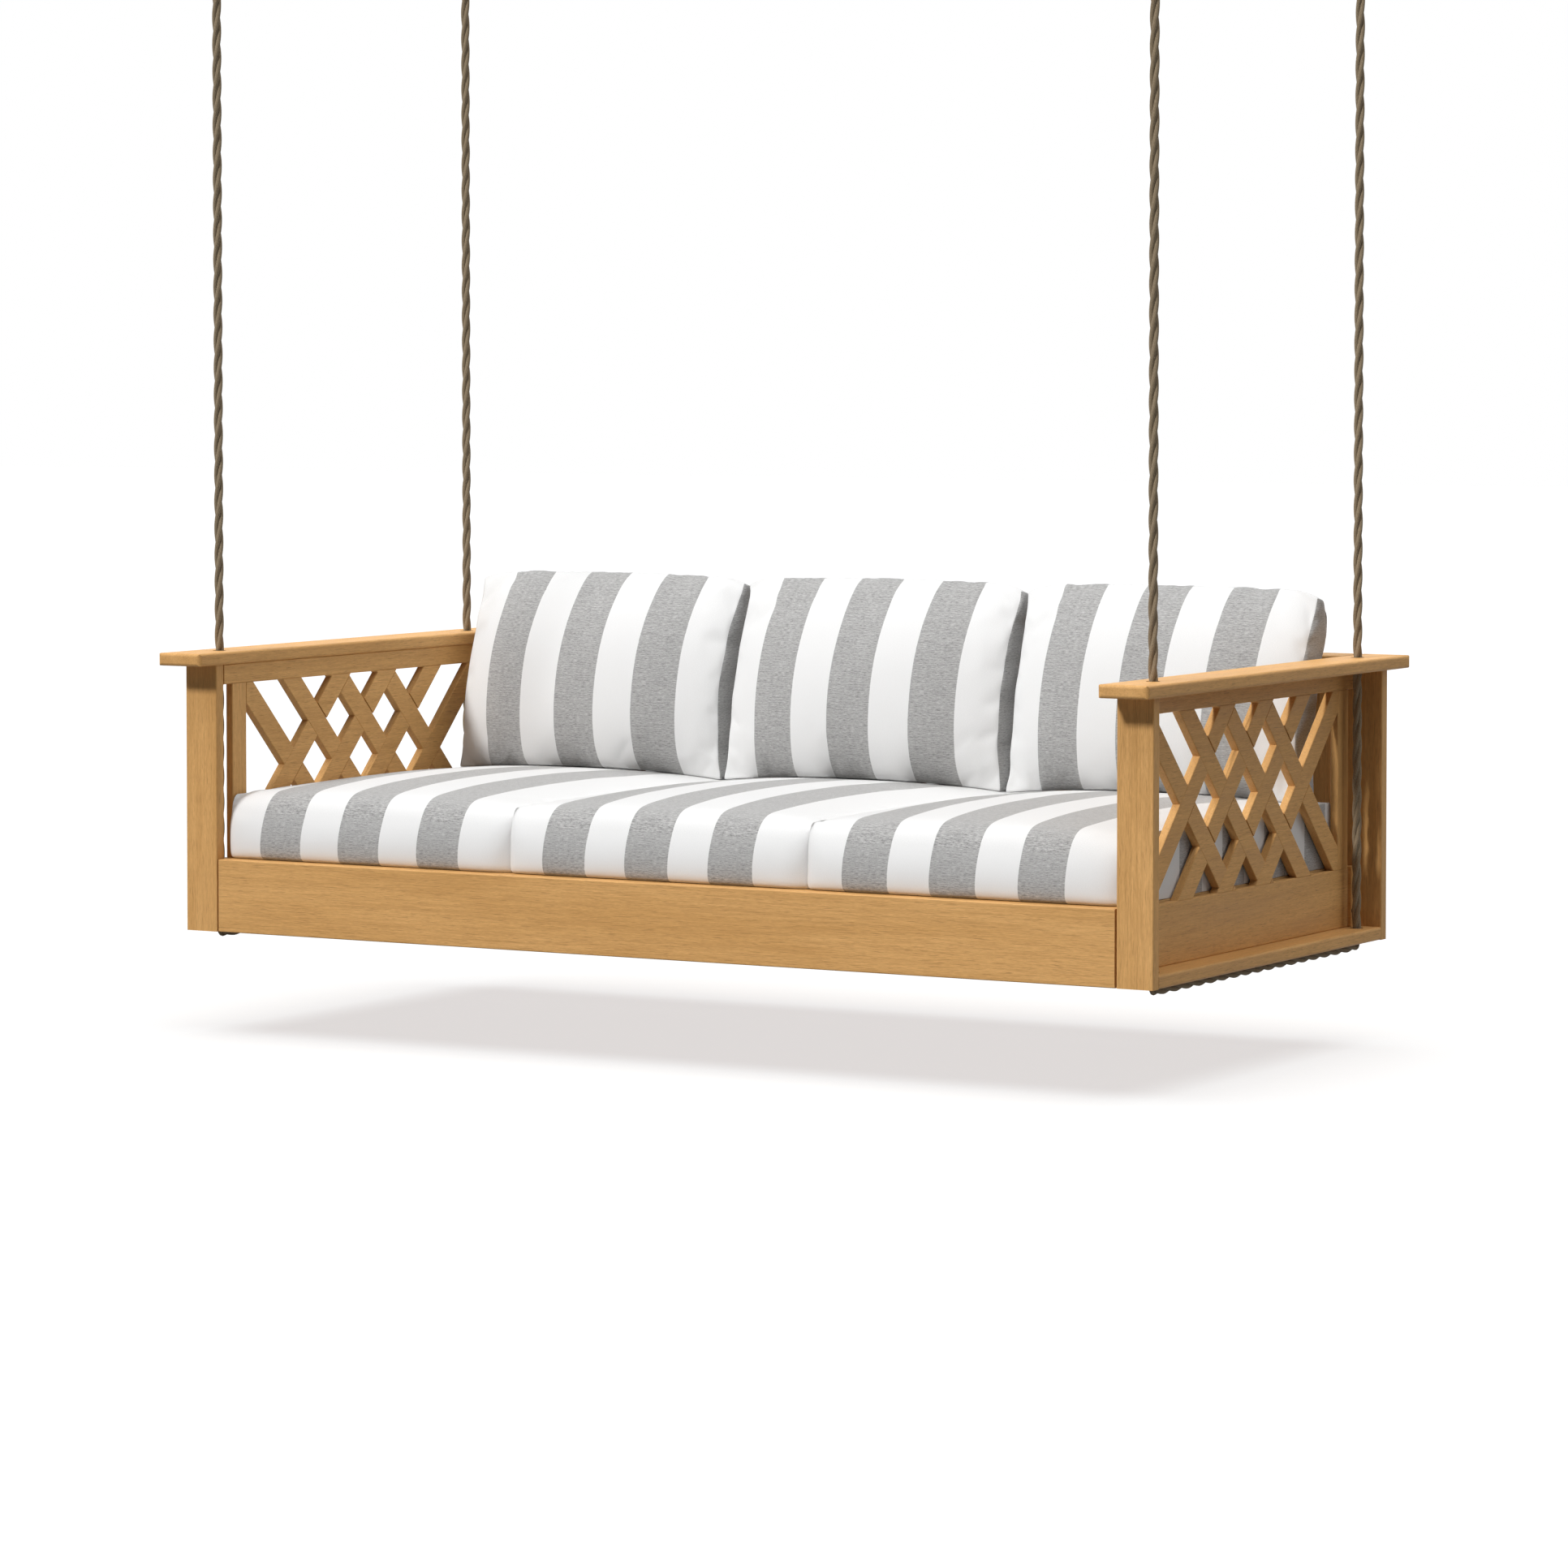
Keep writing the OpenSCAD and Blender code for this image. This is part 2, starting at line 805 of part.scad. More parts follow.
upper_rope(-1, rope_ys[1]);  // rear_left_rope
upper_rope(1, rope_ys[1]);  // rear_right_rope
rope_eyes(rope_ys[0]);  // front_rope_eyes
rope_eyes(rope_ys[1]);  // rear_rope_eyes
thimbles(rope_ys[0]);  // front_thimbles
thimbles(rope_ys[1]);  // rear_thimbles
seizings(rope_ys[0]);  // front_seizings
seizings(rope_ys[1]);  // rear_seizings
eye_bolts();
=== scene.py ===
"""Looks of the hanging swing bed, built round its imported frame."""

import math

import bmesh
import bpy
import numpy as np
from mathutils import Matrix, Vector, noise


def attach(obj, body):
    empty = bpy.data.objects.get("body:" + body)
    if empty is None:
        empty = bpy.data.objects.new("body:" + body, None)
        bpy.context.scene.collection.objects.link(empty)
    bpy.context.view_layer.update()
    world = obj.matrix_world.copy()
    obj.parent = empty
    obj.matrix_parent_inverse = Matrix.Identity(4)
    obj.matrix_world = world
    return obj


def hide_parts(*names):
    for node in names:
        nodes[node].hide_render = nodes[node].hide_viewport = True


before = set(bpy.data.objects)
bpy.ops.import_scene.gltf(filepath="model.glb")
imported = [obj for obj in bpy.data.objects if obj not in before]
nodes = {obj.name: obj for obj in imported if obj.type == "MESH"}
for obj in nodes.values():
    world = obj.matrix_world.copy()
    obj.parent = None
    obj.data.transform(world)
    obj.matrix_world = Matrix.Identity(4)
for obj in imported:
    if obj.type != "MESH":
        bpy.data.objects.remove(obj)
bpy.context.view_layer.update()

# The bed's own coordinates are in millimetres: X from its middle, Y from the front posts' faces, Z from
# its underside. The row's are in metres, from the middle of the ceiling's eye bolts.
FRAME_DEPTH = 1021
HANG_HEIGHT = 2117


def row(x, y, z):
    """A place on the bed in the row's coordinates."""
    return (x / 1000, (y - FRAME_DEPTH / 2) / 1000, (z - HANG_HEIGHT) / 1000)


# ---- Camera ----

CAMERA_PLACE = (5.4968, -9.5483, -0.9654)
CAMERA_YAW = math.radians(29.909)
CAMERA_PITCH = math.radians(2.5)
CAMERA_LENS = 130.21
CAMERA_SHIFT_Y = -0.1233


def make_camera():
    """A long lens from the front right, a little above the bed, with its picture shifted down."""
    data = bpy.data.cameras.new("camera")
    data.lens = CAMERA_LENS
    data.sensor_width = 36
    data.shift_y = CAMERA_SHIFT_Y
    data.clip_start = 0.1
    data.clip_end = 100
    camera = bpy.data.objects.new("camera", data)
    bpy.context.scene.collection.objects.link(camera)
    ahead = Vector((
        -math.sin(CAMERA_YAW) * math.cos(CAMERA_PITCH),
        math.cos(CAMERA_YAW) * math.cos(CAMERA_PITCH),
        -math.sin(CAMERA_PITCH),
    ))
    camera.location = CAMERA_PLACE
    camera.rotation_euler = ahead.to_track_quat("-Z", "Y").to_euler()
    bpy.context.scene.camera = camera


make_camera()
bpy.context.scene.view_settings.view_transform = "Standard"


# ---- Meshes ----

def linked(name, mesh):
    obj = bpy.data.objects.new(name, mesh)
    bpy.context.scene.collection.objects.link(obj)
    return obj


def add_object(name, points, faces, uv_maps=()):
    """A smooth mesh. uv_maps holds (name, one pair per face corner)."""
    mesh = bpy.data.meshes.new(name)
    mesh.from_pydata([tuple(p) for p in points], [], faces)
    for uv_name, pairs in uv_maps:
        layer = mesh.uv_layers.new(name=uv_name)
        layer.data.foreach_set("uv", np.asarray(pairs, np.float32).ravel())
    mesh.validate()
    mesh.shade_smooth()
    return linked(name, mesh)


def unit(a):
    return a / np.maximum(np.linalg.norm(a, axis=-1, keepdims=True), 1e-12)


def frames_along(path):
    """Tangents, normals and binormals that turn as little as they can along a path."""
    tangents = unit(np.gradient(path, axis=0))
    starts_along_x = abs(tangents[0][0]) >= 0.9
    last = np.array((0, 1.0, 0)) if starts_along_x else np.array((1.0, 0, 0))
    normals = []
    for tangent in tangents:
        last = unit(last - tangent * (last @ tangent))
        normals.append(last)
    normals = np.array(normals)
    return tangents, normals, np.cross(tangents, normals)


def lengths_along(path):
    return np.concatenate([[0], np.cumsum(np.linalg.norm(np.diff(path, axis=0), axis=1))])


def resampled(path, step):
    """A path's points again, one about every step."""
    path = np.asarray(path, float)
    s = lengths_along(path)
    places = np.linspace(0, s[-1], max(3, round(s[-1] / step) + 1))
    return np.stack([np.interp(places, s, path[:, k]) for k in range(3)], axis=1)


def tube(centre, radius, sides):
    """Points, faces and face corner places of a round tube with closed ends."""
    _, normals, binormals = frames_along(centre)
    radius = np.broadcast_to(radius, len(centre))
    angles = 2 * np.pi * np.arange(sides) / sides
    around = normals[:, None] * np.cos(angles)[None, :, None]
    around = around + binormals[:, None] * np.sin(angles)[None, :, None]
    points = (centre[:, None] + radius[:, None, None] * around).reshape(-1, 3)
    s = lengths_along(centre)
    faces, corners = [], []
    for i in range(len(centre) - 1):
        for k in range(sides):
            far = (k + 1) % sides
            faces.append((i * sides + k, i * sides + far, (i + 1) * sides + far, (i + 1) * sides + k))
            left, right = k / sides, (k + 1) / sides
            corners += [(left, s[i]), (right, s[i]), (right, s[i + 1]), (left, s[i + 1])]
    first = tuple(range(sides))
    last = tuple((len(centre) - 1) * sides + k for k in range(sides))
    faces += [first[::-1], last]
    corners += [(0, s[0])] * sides + [(0, s[-1])] * sides
    return points, faces, corners


def merged(parts):
    """Several tubes as one."""
    points, faces, corners, count = [], [], [], 0
    for p, f, c in parts:
        points.append(p)
        faces += [tuple(i + count for i in face) for face in f]
        corners += c
        count += len(p)
    return np.concatenate(points), faces, corners


# ---- Materials ----

class Nodes:
    """A node tree whose nodes are added and linked by short calls."""

    def __init__(self, tree):
        self.tree = tree

    def add(self, kind, inputs=None, **settings):
        made = self.tree.nodes.new("ShaderNode" + kind)
        for key, value in settings.items():
            setattr(made, key, value)
        for key, value in (inputs or {}).items():
            self.put(made.inputs[key], value)
        return made

    def put(self, socket, value):
        if isinstance(value, bpy.types.NodeSocket):
            self.tree.links.new(value, socket)
        else:
            socket.default_value = value

    def math(self, operation, *values):
        return self.add("Math", dict(enumerate(values)), operation=operation).outputs[0]

    def weighted(self, first, first_weight, second, second_weight):
        return self.math("ADD", self.math("MULTIPLY", first, first_weight),
                         self.math("MULTIPLY", second, second_weight))

    def mix(self, share, low, high):
        made = self.add("Mix", data_type="RGBA")
        self.put(made.inputs[0], share)
        self.put(made.inputs[6], low)
        self.put(made.inputs[7], high)
        return made.outputs[2]

    def span(self, value, low, high, to_low=0.0, to_high=1.0):
        return self.add("MapRange", {
            "Value": value, "From Min": low, "From Max": high, "To Min": to_low, "To Max": to_high,
        }).outputs[0]

    def noise(self, vector, scale=1.0, detail=2.0, roughness=0.5, distortion=0.0):
        return self.add("TexNoise", {
            "Vector": vector, "Scale": scale, "Detail": detail,
            "Roughness": roughness, "Distortion": distortion,
        }).outputs["Fac"]

    def stretched(self, vector, scale, shift=(0, 0, 0)):
        return self.add("Mapping", {"Vector": vector, "Scale": scale, "Location": shift}).outputs[0]

    def bump(self, height, distance, strength=1.0):
        return self.add("Bump", {"Height": height, "Distance": distance, "Strength": strength}).outputs[0]

    def seen(self):
        """1 where the camera looks, straight, by a reflection or through something clear, else 0."""
        rays = self.add("LightPath").outputs
        return self.math("MAXIMUM", rays["Is Camera Ray"],
                         self.math("MAXIMUM", rays["Is Glossy Ray"], rays["Is Transmission Ray"]))


class Shader(Nodes):
    """A material and its nodes."""

    def __init__(self, name):
        self.material = bpy.data.materials.new(name)
        self.material.use_nodes = True
        super().__init__(self.material.node_tree)

    def place(self):
        return self.add("TexCoord").outputs["Object"]

    def set(self, **values):
        surface = self.tree.nodes["Principled BSDF"]
        for key, value in values.items():
            self.put(surface.inputs[key.replace("_", " ")], value)
        return self.material


def colour(r, g, b):
    return (r, g, b, 1.0)


WHITE = colour(1, 1, 1)


def wood(name, grain, seed, light=(0.85, 0.495, 0.195), dark=(0.68, 0.375, 0.132), roughness=0.5):
    """Oiled wood whose grain runs along the axis numbered grain."""
    s = Shader(name)
    place = s.place()
    shift = tuple(seed * k for k in (0.37, 0.61, 0.83))

    def along(slow, fast):
        """Places for a pattern that is drawn out along the grain."""
        return s.stretched(place, tuple(slow if k == grain else fast for k in range(3)), shift)

    clouds = s.noise(along(1.6, 16), detail=4, roughness=0.6, distortion=0.4)
    streaks = s.noise(along(6, 240), detail=5, roughness=0.7, distortion=0.15)
    threads = s.noise(along(24, 1000), detail=3, roughness=0.65)
    fibres = s.noise(along(85, 1500), detail=2, roughness=0.6)
    pores = s.noise(along(32, 1100), detail=1, roughness=0.5)
    base = s.mix(s.span(clouds, 0.32, 0.68), colour(*dark), colour(*light))
    # Each darker layer: its pattern, the pattern's value where it is strongest and where it has faded
    # out, its strength and its colour
    for pattern, strongest, faded, strength, tint in (
        (streaks, 0.36, 0.56, 0.36, (0.48, 0.250, 0.082)),
        (threads, 0.34, 0.64, 0.38, (0.44, 0.228, 0.074)),
        (fibres, 0.36, 0.62, 0.36, (0.44, 0.228, 0.074)),
        (pores, 0.30, 0.38, 0.50, (0.25, 0.125, 0.042)),
    ):
        base = s.mix(s.span(pattern, strongest, faded, strength, 0.0), base, colour(*tint))
    return s.set(
        Base_Color=base,
        Roughness=s.span(clouds, 0.3, 0.7, roughness - 0.05, roughness + 0.1),
        Specular_IOR_Level=0.14,
        Normal=s.bump(s.weighted(threads, 0.5, fibres, 0.5), 0.0005, 0.45),
    )


# In metres across the cloth: where the first grey stripe starts, how wide each is, how soft and how
# ragged its edges are
STRIPE_START = 0.080
STRIPE_PERIOD = 0.1824
STRIPE_WIDTH = 0.095
STRIPE_EDGE = 0.0008
STRIPE_RAGGED = 0.0018
WEAVE_SCALE = 330.0


def fabric():
    """Striped woven cover. The stripes map says where across the stripes a point lies, the threads map
    where on the cloth."""
    s = Shader("striped_fabric")
    stripe_at = s.add("SeparateXYZ", {0: s.add("UVMap", uv_map="stripes").outputs[0]}).outputs[0]
    place = s.add("UVMap", uv_map="threads").outputs[0]
    frayed = s.math("SUBTRACT", s.noise(s.stretched(place, (150, 900, 1))), 0.5)
    stripe_at = s.math("ADD", stripe_at, s.math("MULTIPLY", frayed, STRIPE_RAGGED))
    periods = s.math("DIVIDE", s.math("SUBTRACT", stripe_at, STRIPE_START), STRIPE_PERIOD)
    within = s.math("MULTIPLY", s.math("FRACT", periods), STRIPE_PERIOD)
    rising = s.span(within, 0, STRIPE_EDGE)
    falling = s.span(within, STRIPE_WIDTH, STRIPE_WIDTH + STRIPE_EDGE, 1.0, 0.0)
    grey = s.math("MULTIPLY", rising, falling)

    slubs = s.noise(s.stretched(place, (110, 860, 1)), detail=2, roughness=0.6)
    fine = s.noise(s.stretched(place, (400, 1500, 1), (7, 3, 0)), detail=2)
    bands = s.noise(s.stretched(place, (22, 480, 1), (3, 5, 0)), detail=2)
    mottle = s.weighted(s.weighted(slubs, 0.7, bands, 0.3), 0.75, fine, 0.25)
    heather = s.mix(s.span(mottle, 0.38, 0.62), colour(0.195, 0.193, 0.190), colour(0.525, 0.521, 0.514))
    plain = s.mix(s.span(fine, 0.35, 0.65), colour(0.738, 0.738, 0.735), colour(0.786, 0.786, 0.783))

    across, down = (
        s.add("TexWave", {"Vector": place, "Scale": WEAVE_SCALE, "Distortion": 0.4}, bands_direction=way)
        for way in "XY")
    weave = s.math("MULTIPLY", across.outputs["Fac"], down.outputs["Fac"])
    return s.set(
        Base_Color=s.mix(grey, plain, heather),
        Roughness=0.9,
        Specular_IOR_Level=0.25,
        Sheen_Weight=0.50,
        Sheen_Roughness=0.5,
        Normal=s.bump(s.weighted(weave, 0.5, slubs, 0.5), 0.0003, 0.5),
    )


YARNS_AROUND = 9.0
YARN_TURNS_PER_METRE = 160.0


def rope_fibre():
    """Taupe strands of fine yarns, with painted shade in the grooves between them. The strand map says where
    round a strand and along it.
    """
    s = Shader("rope_fibre")
    around, along, _ = s.add("SeparateXYZ", {0: s.add("UVMap", uv_map="strand").outputs[0]}).outputs
    turns = s.weighted(around, YARNS_AROUND, along, YARN_TURNS_PER_METRE)
    yarns = s.math("SINE", s.math("MULTIPLY", turns, 2 * math.pi))
    place = s.place()
    fuzz = s.noise(place, 520.0, 3, 0.7)
    drift = s.noise(place, 14.0, 2, 0.5)
    base = s.mix(s.span(fuzz, 0.3, 0.7), colour(0.200, 0.148, 0.090), colour(0.370, 0.290, 0.190))
    # Painted shade: the grooves between the yarns are darkened towards near-black, as if in shadow.
    base = s.mix(s.span(yarns, -1, 0.2, 0.35, 0.0), base, colour(0.085, 0.060, 0.036))
    base = s.mix(s.span(drift, 0.3, 0.7, 0.0, 0.25), base, colour(0.29, 0.225, 0.145))
    return s.set(Base_Color=base, Roughness=0.85, Specular_IOR_Level=0.2, Sheen_Weight=0.1,
                 Normal=s.bump(s.weighted(yarns, 0.5, fuzz, 0.8), 0.0004, 0.6))


def twine():
    s = Shader("twine")
    fuzz = s.noise(s.place(), 900.0, 3, 0.7)
    base = s.mix(s.span(fuzz, 0.3, 0.7), colour(0.34, 0.26, 0.16), colour(0.58, 0.47, 0.32))
    return s.set(Base_Color=base, Roughness=0.85, Specular_IOR_Level=0.2, Normal=s.bump(fuzz, 0.0003, 0.6))


def zinc():
    s = Shader("zinc_steel")
    place = s.place()
    spangle = s.add("TexVoronoi", {"Vector": place, "Scale": 140.0}, feature="SMOOTH_F1").outputs["Distance"]
    wear = s.noise(place, 60.0, 4, 0.6)
    base = s.mix(s.span(spangle, 0.1, 0.8), colour(0.50, 0.51, 0.52), colour(0.68, 0.69, 0.70))
    return s.set(Base_Color=base, Metallic=1.0, Roughness=s.span(wear, 0.3, 0.7, 0.32, 0.5),
                 Normal=s.bump(wear, 0.0002, 0.3))


def dark_steel():
    s = Shader("dark_steel")
    wear = s.noise(s.place(), 300.0, 3, 0.6)
    base = s.mix(s.span(wear, 0.3, 0.7), colour(0.035, 0.032, 0.03), colour(0.08, 0.075, 0.07))
    return s.set(Base_Color=base, Metallic=0.6, Roughness=0.45, Normal=s.bump(wear, 0.0001, 0.3))


# ---- Wood and metal of the frame ----

# Which axis the grain runs along in each wooden node
GRAIN = {
    "front_left_post": 2, "front_right_post": 2, "rear_left_post": 2, "rear_right_post": 2,
    "left_armrest": 1, "right_armrest": 1, "back_cap": 0,
    "front_rail": 0, "rear_rail": 0, "front_inner_rail": 0, "rear_inner_rail": 0,
    "left_bottom_board": 1, "right_bottom_board": 1, "left_side_apron": 1, "right_side_apron": 1,
    "left_top_rail": 1, "right_top_rail": 1,
    "left_front_stile": 2, "left_rear_stile": 2, "right_front_stile": 2, "right_rear_stile": 2,
    "left_rising_slats": 1, "left_falling_slats": 1, "right_rising_slats": 1, "right_falling_slats": 1,
    "back_top_rail": 0, "back_bottom_rail": 0, "back_left_stile": 2, "back_right_stile": 2,
    "back_rising_slats": 0, "back_falling_slats": 0,
}
DECK_GRAIN = {"front_ledger": 0, "rear_ledger": 0, "seat_slats": 1}
DECK_SEED = 50
DECK_LIGHT = (0.60, 0.40, 0.20)
DECK_DARK = (0.45, 0.28, 0.12)
SLAT_EASE = 0.0016
LAP_SLIT = 0.0024
SAME_WAY = 0.99  # the least cosine of the angle between directions taken as one
SHARP_EDGE = 0.5  # the least angle of a long edge that is eased, in radians


def dress(name, material):
    mesh = nodes[name].data
    mesh.materials.clear()
    mesh.materials.append(material)


def ease_slats(name):
    """A copy of a lattice's slats with eased long edges. The laps of the rising slats stand open
    by a slit on their upper side."""
    rising = "rising" in name
    flat = Vector((1, 0, 0)) if name.startswith("back") else Vector((0, 1, 0))
    along = (flat + Vector((0, 0, 1 if rising else -1))).normalized()
    mesh = bmesh.new()
    mesh.from_mesh(nodes[name].data)
    bmesh.ops.remove_doubles(mesh, verts=mesh.verts, dist=1e-6)
    bmesh.ops.dissolve_limit(mesh, angle_limit=0.01, verts=mesh.verts, edges=mesh.edges)
    mesh.normal_update()
    if rising:
        walls = [face for face in mesh.faces if face.normal.dot(along) < -SAME_WAY]
        for vert in {vert for wall in walls for vert in wall.verts}:
            vert.co += along * LAP_SLIT
    long_edges = [e for e in mesh.edges if e.is_manifold and e.calc_face_angle() > SHARP_EDGE
                  and abs((e.verts[1].co - e.verts[0].co).normalized().dot(along)) > SAME_WAY]
    bmesh.ops.bevel(mesh, geom=long_edges, offset=SLAT_EASE, segments=2, profile=0.5, affect="EDGES",
                    clamp_overlap=True)
    eased = bpy.data.meshes.new(name + "_eased")
    mesh.to_mesh(eased)
    mesh.free()
    eased.materials.append(nodes[name].data.materials[0])
    obj = linked(name + "_eased", eased)
    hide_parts(name)
    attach(obj, "bed")


for index, (name, grain) in enumerate(GRAIN.items()):
    dress(name, wood("wood_" + name, grain, index + 1))
for name in GRAIN:
    if name.endswith("slats"):
        ease_slats(name)
for index, (name, grain) in enumerate(DECK_GRAIN.items()):
    dress(name, wood("wood_" + name, grain, DECK_SEED + index, DECK_LIGHT, DECK_DARK, roughness=0.65))
dress("rail_screws", dark_steel())
metal = zinc()
for name in ("eye_bolts", "front_thimbles", "rear_thimbles"):
    dress(name, metal)
ROPE_LOOK = rope_fibre()
TWINE_LOOK = twine()
FABRIC_LOOK = fabric()


# ---- Ropes, in the row's metres ----

ROPE_X = 1.0212
ROPE_Y = 0.4449
ROPE_RADIUS = 0.009
ROPE_LAY = 0.158
ROPE_STEP = 0.0055
STRAND_RADIUS = 0.00445
STRAND_CENTRE = ROPE_RADIUS - STRAND_RADIUS
STRAND_SIDES = 12
PIVOT_Z = -1.5735
ROPE_BOTTOM_Z = PIVOT_Z - ROPE_RADIUS + 0.0005
BLUNT_LEAST = 0.02

CROWN_Z = (2047.6 - HANG_HEIGHT) / 1000  # the middle of the eye's arc over its thimble
CROWN_RADIUS = 0.0225
EYE_LENGTH = 0.075
EYE_LAY = 0.11
EYE_STEP = 0.004
THROAT_Z = CROWN_Z - EYE_LENGTH
THROAT_ANGLE = math.asin(CROWN_RADIUS / EYE_LENGTH)

SPLICE_BOTTOM_Z = -0.2244
SPLICE_LENGTH = 0.050
SPLICE_RADIUS = 0.012
TUCK_RADIUS = 0.0012  # at the splice's lower end
TUCK_GROWS = 0.0021
TUCK_SUNK = 0.0028

TWINE_RADIUS = 0.00115
TWINE_SLACK = 0.0001
TWINE_CLEAR = 0.0002
TWINE_SIDES = 8
TWINE_STEPS = 28
SEIZING_MIDDLE_Z = THROAT_Z - 0.45 * SPLICE_LENGTH
SEIZING_HALF = SPLICE_LENGTH / 4

SLING_Z = (-9.3 - HANG_HEIGHT) / 1000  # the rope's middle under the bottom boards
SLING_TOP_Z = PIVOT_Z - ROPE_RADIUS - 0.0003
SLING_BEND = 0.012
SLING_LAY = 0.15
SLING_STEP = 0.0045


def blunt_start(s):
    """How full a strand is at place s, from a half-ball start on."""
    return np.minimum(1, np.sqrt(np.clip(1 - (1 - np.clip(s / ROPE_RADIUS, 0, 1)) ** 2, BLUNT_LEAST, 1)))


def winding(path, phase, lay, away, radius):
    """One strand wound to the right round a path, at a distance from it."""
    _, normals, binormals = frames_along(path)
    angle = phase + 2 * np.pi * lengths_along(path) / lay
    turn = normals * np.cos(angle)[:, None] + binormals * np.sin(angle)[:, None]
    away = np.broadcast_to(away, len(path))
    return tube(path + turn * away[:, None], radius, STRAND_SIDES)


def laid_strands(path, lay, full=1.0):
    """Three strands laid to the right round a path."""
    return [winding(path, 2 * np.pi * k / 3, lay, STRAND_CENTRE * full, STRAND_RADIUS * full)
            for k in range(3)]


def tucked_strands(path, phase):
    """The ends spliced in between the three strands, thinner at the start."""
    s = lengths_along(path)
    share = np.clip(s / (s[-1] - SPLICE_LENGTH), 0, 1)
    radius = TUCK_RADIUS + TUCK_GROWS * share
    away = SPLICE_RADIUS - radius - TUCK_SUNK * (1 - share)
    return [winding(path, phase + 2 * np.pi * (k / 3 + 1 / 6), ROPE_LAY, away, radius) for k in range(3)]


def rope_object(name, parts, body):
    points, faces, corners = merged(parts)
    obj = add_object(name, points, faces, [("strand", corners)])
    obj.data.materials.append(ROPE_LOOK)
    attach(obj, body)
    return obj


def arc(centre, radius, start, end, count):
    """Points of an arc in the YZ plane, angles from +Y towards +Z."""
    angles = np.linspace(start, end, count)
    return [(centre[0], centre[1] + radius * math.cos(a), centre[2] + radius * math.sin(a)) for a in angles]


def eye_path(x, y):
    """From the throat up one leg, over the crown and down the other."""
    crown = (x, y, CROWN_Z)
    throat = (x, y, THROAT_Z)
    return [throat] + arc(crown, CROWN_RADIUS, -THROAT_ANGLE, math.pi + THROAT_ANGLE, 40) + [throat]


def seizing(name, x, y, low, high, body):
    """Twine wound round the splice."""
    pitch = 2 * TWINE_RADIUS + TWINE_SLACK
    turns = (high - low - 2 * TWINE_RADIUS) / pitch
    angles = np.linspace(0, 2 * math.pi * turns, round(turns * TWINE_STEPS))
    away = SPLICE_RADIUS + TWINE_RADIUS + TWINE_CLEAR
    path = np.stack([
        x + away * np.cos(angles), y + away * np.sin(angles),
        low + TWINE_RADIUS + pitch * angles / (2 * math.pi),
    ], axis=1)
    points, faces, corners = tube(path, TWINE_RADIUS, TWINE_SIDES)
    obj = add_object(name, points, faces, [("strand", corners)])
    obj.data.materials.append(TWINE_LOOK)
    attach(obj, body)
    return obj


def hang_rope(front, side, x, y):
    """An upper rope, the eye spliced at its top and the seizing round the splice."""
    body = front + "_ropes"
    path = resampled([(x, y, ROPE_BOTTOM_Z), (x, y, THROAT_Z + ROPE_RADIUS)], ROPE_STEP)
    strands = laid_strands(path, ROPE_LAY, blunt_start(lengths_along(path)))
    rope = rope_object(f"{front}_{side}_laid_rope", strands, body)
    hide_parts(f"{front}_{side}_rope")

    splice = resampled([(x, y, SPLICE_BOTTOM_Z), (x, y, THROAT_Z + ROPE_RADIUS)], ROPE_STEP)
    parts = tucked_strands(splice, 2 * math.pi * (SPLICE_BOTTOM_Z - ROPE_BOTTOM_Z) / ROPE_LAY)
    parts += laid_strands(resampled(eye_path(x, y), EYE_STEP), EYE_LAY)
    eye = rope_object(f"{front}_{side}_spliced_eye", parts, body)
    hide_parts(f"{front}_rope_eyes")

    wound = seizing(f"{front}_{side}_seizing", x, y,
                    SEIZING_MIDDLE_Z - SEIZING_HALF, SEIZING_MIDDLE_Z + SEIZING_HALF, body)
    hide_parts(f"{front}_seizings")


def sling_rope(side, x):
    """Down from one armrest hole, under the bottom board and up to the other."""
    path = [(x, -ROPE_Y, SLING_TOP_Z)]
    path += arc((x, -ROPE_Y + SLING_BEND, SLING_Z + SLING_BEND), SLING_BEND, math.pi, 1.5 * math.pi, 12)
    path += arc((x, ROPE_Y - SLING_BEND, SLING_Z + SLING_BEND), SLING_BEND, 1.5 * math.pi, 2 * math.pi, 12)
    path += [(x, ROPE_Y, SLING_TOP_Z)]
    strands = laid_strands(resampled(path, SLING_STEP), SLING_LAY)
    rope = rope_object(f"{side}_laid_sling", strands, "bed")
    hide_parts(f"{side}_sling_rope")


SIDES = (("left", -ROPE_X), ("right", ROPE_X))
for front, y in (("front", -ROPE_Y), ("rear", ROPE_Y)):
    for side, x in SIDES:
        hang_rope(front, side, x, y)
for side, x in SIDES:
    sling_rope(side, x)


# ---- Cushions, in the bed's millimetres ----

CUSHIONS = ((-1, "left"), (0, "middle"), (1, "right"))
FULLNESS_POWER = 2.6
SEAM_CREASE = 0.75
SWELL_FRAMES = 20


def box_grid(counts):
    """The surface of a block of cells: for each point its shares from 0 to 1 along the three
    directions, the faces, and for each face the direction it faces and whether it is the far side."""
    index, triples, faces, sides = {}, [], [], []

    def at(triple):
        if triple not in index:
            index[triple] = len(triples)
            triples.append(triple)
        return index[triple]

    for axis in range(3):
        a, b = [k for k in range(3) if k != axis]
        for far in (0, 1):
            for i in range(counts[a]):
                for j in range(counts[b]):
                    loop = []
                    for di, dj in ((0, 0), (1, 0), (1, 1), (0, 1)):
                        triple = [far * counts[axis]] * 3
                        triple[a], triple[b] = i + di, j + dj
                        loop.append(at(tuple(triple)))
                    if (far == 0) != (axis == 1):
                        loop.reverse()
                    faces.append(tuple(loop))
                    sides.append((axis, far))
    return np.array(triples), faces, sides


